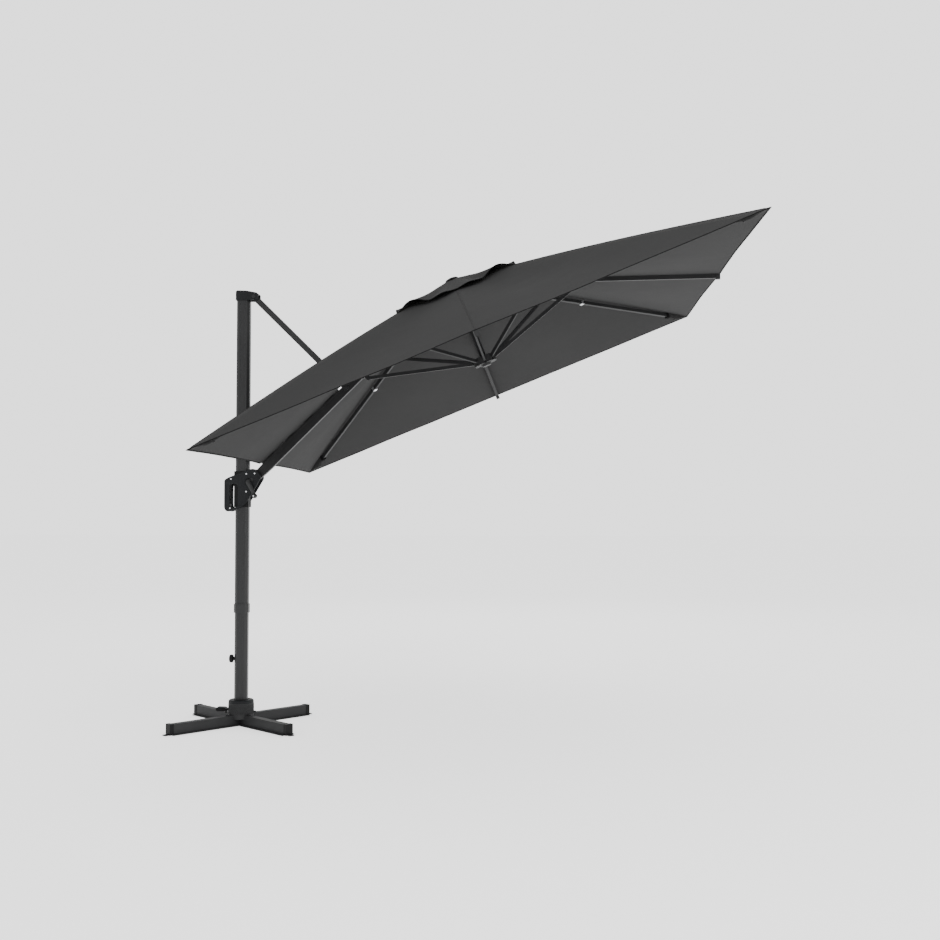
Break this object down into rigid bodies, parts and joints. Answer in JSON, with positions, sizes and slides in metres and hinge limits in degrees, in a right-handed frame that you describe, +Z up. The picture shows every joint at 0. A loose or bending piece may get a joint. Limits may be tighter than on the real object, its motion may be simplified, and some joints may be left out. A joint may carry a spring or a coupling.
{
  "type": "cantilever parasol",
  "caption": "Cantilever parasol with a square canopy hung from a side mast, a swinging boom with a sliding carriage and crank, and a cross base.",
  "frame": {"origin": "on the ground under the axis that the mast turns on", "axes": "+Z up; +X from the mast to the canopy; +Y to the left of +X"},
  "size_m": [3.2851, 3, 2.7094],
  "materials": {
    "base_steel": "satin powder coat",
    "grey_frame": "charcoal powder coat",
    "black_frame": "black powder coat",
    "slate_castings": "slate powder coat",
    "black_plastic": "moulded",
    "bright_steel": "zinc plated",
    "canopy_fabric": "woven polyester"
  },
  "bodies": {
    "base": {"base_bar_long": "base_steel", "base_bar_crossing": "base_steel", "leg_end_caps": "black_plastic", "base_hub": "base_steel", "leg_bolts": "base_steel"},
    "pedal": {"foot_pedal": "black_plastic"},
    "mast": {"turntable": "slate_castings", "lower_mast": "grey_frame", "mast_collar": "grey_frame", "upper_mast": "grey_frame", "mast_head": "slate_castings", "head_pin": "base_steel"},
    "clamp_knob": {"clamp_knob": "black_plastic"},
    "strut": {"support_strut": "grey_frame", "strut_pin": "base_steel"},
    "boom": {"boom": "black_frame", "boom_head": "black_frame", "boom_lug": "black_frame", "canopy_left": "canopy_fabric"},
    "carriage": {"carriage_front": "slate_castings", "carriage_back": "slate_castings", "carriage_sleeve": "black_plastic", "carriage_screws": "bright_steel", "carriage_grip": "black_plastic", "carriage_pin": "base_steel"},
    "crank": {"crank": "grey_frame", "crank_knob": "black_plastic"},
    "crown": {"crown": "black_frame", "crown_ring": "bright_steel", "finial": "black_plastic", "boom_tip_pin": "base_steel"},
    "runner": {"lower_hub": "black_frame", "centre_tube": "black_frame"},
    "rib_right": {"rib_right": "black_frame", "canopy_right": "canopy_fabric"},
    "stretcher_right": {"stretcher_right": "black_frame"},
    "rib_back_right": {"rib_back_right": "black_frame", "clip_back_right": "bright_steel", "canopy_back_right": "canopy_fabric"},
    "stretcher_back_right": {"stretcher_back_right": "black_frame"},
    "rib_back": {"rib_back": "black_frame", "canopy_back": "canopy_fabric"},
    "stretcher_back": {"stretcher_back": "black_frame"},
    "rib_back_left": {"rib_back_left": "black_frame", "clip_back_left": "bright_steel", "canopy_back_left": "canopy_fabric"},
    "stretcher_back_left": {"stretcher_back_left": "black_frame"},
    "rib_front_left": {"rib_front_left": "black_frame", "clip_front_left": "bright_steel", "canopy_front_left": "canopy_fabric"},
    "stretcher_front_left": {"stretcher_front_left": "black_frame"},
    "rib_front": {"rib_front": "black_frame", "canopy_front": "canopy_fabric"},
    "stretcher_front": {"stretcher_front": "black_frame"},
    "rib_front_right": {"rib_front_right": "black_frame", "clip_front_right": "bright_steel", "canopy_front_right": "canopy_fabric"},
    "stretcher_front_right": {"stretcher_front_right": "black_frame"},
    "stretcher_left": {"stretcher_left": "black_frame"}
  },
  "joints": [
    {"name": "pedal_press", "type": "hinge", "parent": "base", "child": "pedal", "pos_m": [-0.062, 0, 0.092], "axis": [0, -1, 0], "range_deg": [0, 9], "stiffness_Nm_per_rad": 3, "springref_deg": -8.59},
    {"name": "mast_turn", "type": "hinge", "parent": "base", "child": "mast", "pos_m": [0, 0, 0.132], "axis": [0, 0, 1], "continuous": true},
    {"name": "knob_turn", "type": "hinge", "parent": "mast", "child": "clamp_knob", "pos_m": [-0.05, 0, 0.395], "axis": [-1, 0, 0], "continuous": true},
    {"name": "arm_swing", "type": "hinge", "parent": "mast", "child": "strut", "pos_m": [0.066, 0, 2.596], "axis": [0, 1, 0], "range_deg": [-20, 38]},
    {"name": "boom_swing", "type": "hinge", "parent": "strut", "child": "boom", "pos_m": [0.63337, 0, 2.0365], "axis": [0, 1, 0], "range_deg": [-77, 41]},
    {"name": "carriage_level", "type": "hinge", "parent": "boom", "child": "carriage", "pos_m": [0.066, 0, 1.477], "axis": [0, 1, 0], "range_deg": [-21, 39]},
    {"name": "crank_spin", "type": "hinge", "parent": "carriage", "child": "crank", "pos_m": [0.045, 0, 1.47], "axis": [0, 1, 0], "continuous": true},
    {"name": "canopy_fold", "type": "hinge", "parent": "boom", "child": "crown", "pos_m": [1.2421, 0, 2.61292], "axis": [0, 1, 0], "range_deg": [0, 63], "deforming": ["canopy_left"]},
    {"name": "runner_slide", "type": "slide", "parent": "crown", "child": "runner", "axis": [0.3778, 0, -0.9259], "range_m": [-0.01, 0.8969]},
    {"name": "fold_right", "type": "hinge", "parent": "crown", "child": "rib_right", "pos_m": [1.34829, 0, 2.67029], "axis": [0, 1, 0], "range_deg": [-1, 65.13], "deforming": ["canopy_right"]},
    {"name": "joint_right", "type": "hinge", "parent": "rib_right", "child": "stretcher_right", "pos_m": [2.04116, 0, 2.65862], "axis": [0, 1, 0], "range_deg": [-134.65, 2]},
    {"name": "fold_back_right", "type": "hinge", "parent": "crown", "child": "rib_back_right", "pos_m": [1.33202, 0.04243, 2.66365], "axis": [-0.6547, 0.7071, -0.2672], "range_deg": [-1, 71.03], "deforming": ["canopy_back_right"]},
    {"name": "joint_back_right", "type": "hinge", "parent": "rib_back_right", "child": "stretcher_back_right", "pos_m": [1.82448, 0.49578, 2.65677], "axis": [-0.6547, 0.7071, -0.2672], "range_deg": [-134.17, 2]},
    {"name": "fold_back", "type": "hinge", "parent": "crown", "child": "rib_back", "pos_m": [1.29274, 0.06, 2.64762], "axis": [-0.9259, 0, -0.3778], "range_deg": [-1, 65.13], "deforming": ["canopy_back"]},
    {"name": "joint_back", "type": "hinge", "parent": "rib_back", "child": "stretcher_back", "pos_m": [1.39574, 0.6971, 2.39523], "axis": [-0.9259, 0, -0.3778], "range_deg": [-134.65, 2]},
    {"name": "fold_back_left", "type": "hinge", "parent": "crown", "child": "rib_back_left", "pos_m": [1.25346, 0.04243, 2.63159], "axis": [-0.6547, -0.7071, -0.2672], "range_deg": [-1, 71.03], "deforming": ["canopy_back_left"]},
    {"name": "joint_back_left", "type": "hinge", "parent": "rib_back_left", "child": "stretcher_back_left", "pos_m": [0.90643, 0.49578, 2.28212], "axis": [-0.6547, -0.7071, -0.2672], "range_deg": [-134.17, 2]},
    {"name": "fold_front_left", "type": "hinge", "parent": "crown", "child": "rib_front_left", "pos_m": [1.25346, -0.04243, 2.63159], "axis": [0.6547, -0.7071, 0.2672], "range_deg": [-1, 71.03], "deforming": ["canopy_front_left"]},
    {"name": "joint_front_left", "type": "hinge", "parent": "rib_front_left", "child": "stretcher_front_left", "pos_m": [0.90643, -0.49578, 2.28212], "axis": [0.6547, -0.7071, 0.2672], "range_deg": [-134.17, 2]},
    {"name": "fold_front", "type": "hinge", "parent": "crown", "child": "rib_front", "pos_m": [1.29274, -0.06, 2.64762], "axis": [0.9259, 0, 0.3778], "range_deg": [-1, 65.13], "deforming": ["canopy_front"]},
    {"name": "joint_front", "type": "hinge", "parent": "rib_front", "child": "stretcher_front", "pos_m": [1.39574, -0.6971, 2.39523], "axis": [0.9259, 0, 0.3778], "range_deg": [-134.65, 2]},
    {"name": "fold_front_right", "type": "hinge", "parent": "crown", "child": "rib_front_right", "pos_m": [1.33202, -0.04243, 2.66365], "axis": [0.6547, 0.7071, 0.2672], "range_deg": [-1, 71.03], "deforming": ["canopy_front_right"]},
    {"name": "joint_front_right", "type": "hinge", "parent": "rib_front_right", "child": "stretcher_front_right", "pos_m": [1.82448, -0.49578, 2.65677], "axis": [0.6547, 0.7071, 0.2672], "range_deg": [-134.17, 2]},
    {"name": "joint_left", "type": "hinge", "parent": "boom", "child": "stretcher_left", "pos_m": [0.76896, 0, 2.09578], "axis": [0, 1, 0], "range_deg": [-2, 137.73]}
  ],
  "couplings": [
    {"joint": "boom_swing", "follows": "arm_swing", "ratio": -2},
    {"joint": "carriage_level", "follows": "arm_swing", "ratio": 1},
    {"joint": "runner_slide", "follows": "canopy_fold", "m_per_rad": 0.80657},
    {"joint": "fold_right", "follows": "canopy_fold", "ratio": 1.0179},
    {"joint": "joint_right", "follows": "canopy_fold", "ratio": -2.1055},
    {"joint": "fold_back_right", "follows": "canopy_fold", "ratio": 1.1116},
    {"joint": "joint_back_right", "follows": "canopy_fold", "ratio": -2.0979},
    {"joint": "fold_back", "follows": "canopy_fold", "ratio": 1.0179},
    {"joint": "joint_back", "follows": "canopy_fold", "ratio": -2.1055},
    {"joint": "fold_back_left", "follows": "canopy_fold", "ratio": 1.1116},
    {"joint": "joint_back_left", "follows": "canopy_fold", "ratio": -2.0979},
    {"joint": "fold_front_left", "follows": "canopy_fold", "ratio": 1.1116},
    {"joint": "joint_front_left", "follows": "canopy_fold", "ratio": -2.0979},
    {"joint": "fold_front", "follows": "canopy_fold", "ratio": 1.0179},
    {"joint": "joint_front", "follows": "canopy_fold", "ratio": -2.1055},
    {"joint": "fold_front_right", "follows": "canopy_fold", "ratio": 1.1116},
    {"joint": "joint_front_right", "follows": "canopy_fold", "ratio": -2.0979},
    {"joint": "joint_left", "follows": "canopy_fold", "ratio": 2.1544}
  ]
}
